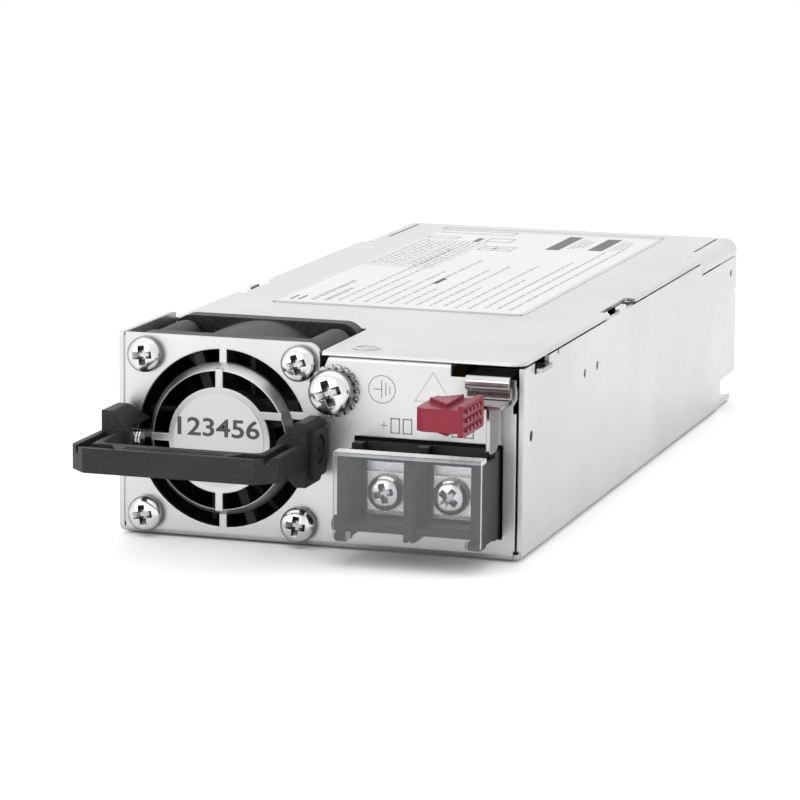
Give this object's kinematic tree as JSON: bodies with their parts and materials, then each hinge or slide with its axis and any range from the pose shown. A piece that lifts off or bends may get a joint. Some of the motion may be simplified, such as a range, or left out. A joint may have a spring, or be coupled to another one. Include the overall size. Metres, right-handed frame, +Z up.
{
  "type": "power_supply",
  "caption": "Hot-plug redundant power supply module with a folded metal case, fan, black handle, two-pole terminal block, clear cover and red side latch",
  "frame": {"origin": "centre of the casing's underside, on the plane it slides on", "axes": "+X to the right seen from the front, +Y from the front panel to the rear connector edge, +Z up"},
  "size_m": [0.0842, 0.219, 0.0402],
  "materials": {
    "zinc_sheet": "satin zinc-coated sheet",
    "black_plastic": "fine grained black moulding",
    "screw_steel": "nickel-plated steel",
    "dark_iron": "dark sintered iron",
    "board_green": "solder-masked board",
    "block_plastic": "black moulding",
    "tin_plate": "tin-plated metal",
    "clear_plastic": "clear moulded cover",
    "spring_steel": "bright spring steel",
    "grip_plastic": "deep red moulding",
    "film": "insulating film",
    "gold_contact": "gold-plated contact",
    "ceramic": "white ceramic",
    "capacitor_sleeve": "dark sleeve",
    "winding_tape": "yellow tape",
    "aluminium_black": "anodised aluminium",
    "lead_blue": "blue insulation",
    "lead_red": "red insulation",
    "lead_black": "black insulation",
    "connector_white": "natural nylon",
    "label_paper": "white printed label"
  },
  "bodies": {
    "casing": {"chassis": "zinc_sheet", "top_cover": "zinc_sheet", "rear_panel": "zinc_sheet", "handle": "black_plastic", "handle_screws": "screw_steel", "fan_frame": "black_plastic", "fan_board": "board_green", "fan_stator": "dark_iron", "fan_bearings": "screw_steel", "fan_screws": "screw_steel", "ground_screw": "screw_steel", "ground_washer": "screw_steel", "terminal_block": "block_plastic", "terminal_bars": "tin_plate", "terminal_clamps": "tin_plate", "terminal_screws": "screw_steel", "latch_bracket": "zinc_sheet", "latch_pin": "screw_steel", "latch_rivets": "screw_steel", "latch_spring": "spring_steel", "main_board": "board_green", "board_standoffs": "screw_steel", "board_screws": "screw_steel", "insulating_sheet": "film", "edge_contacts": "gold_contact", "input_fuse": "ceramic", "input_choke": "dark_iron", "input_capacitors": "capacitor_sleeve", "transformer_core": "dark_iron", "transformer_winding": "winding_tape", "output_inductor": "dark_iron", "heat_sinks": "aluminium_black", "power_transistors": "block_plastic", "control_card": "board_green", "output_capacitors": "capacitor_sleeve", "fan_lead_blue": "lead_blue", "fan_lead_red": "lead_red", "fan_lead_black": "lead_black", "fan_socket": "connector_white", "fan_plug": "connector_white", "rating_label": "label_paper", "guard_label": "label_paper"},
    "impeller": {"fan_rotor": "black_plastic", "fan_magnet": "dark_iron", "fan_shaft": "screw_steel"},
    "latch": {"latch_lever": "spring_steel", "latch_grip": "grip_plastic"},
    "terminal_cover": {"terminal_lid": "clear_plastic"}
  },
  "joints": [
    {"name": "fan_spin", "type": "hinge", "parent": "casing", "child": "impeller", "pos_m": [-0.0197, -0.08, 0.0202], "axis": [0, 1, 0], "continuous": true},
    {"name": "latch_hinge", "type": "hinge", "parent": "casing", "child": "latch", "pos_m": [0.0373, -0.044, 0.0295], "axis": [0, 0, -1], "range_deg": [0, 3], "stiffness_Nm_per_rad": 2, "springref_deg": -2.86},
    {"name": "cover_hinge", "type": "hinge", "parent": "casing", "child": "terminal_cover", "pos_m": [0.0225, -0.1072, 0.0054], "axis": [1, 0, 0], "range_deg": [0, 90]}
  ]
}
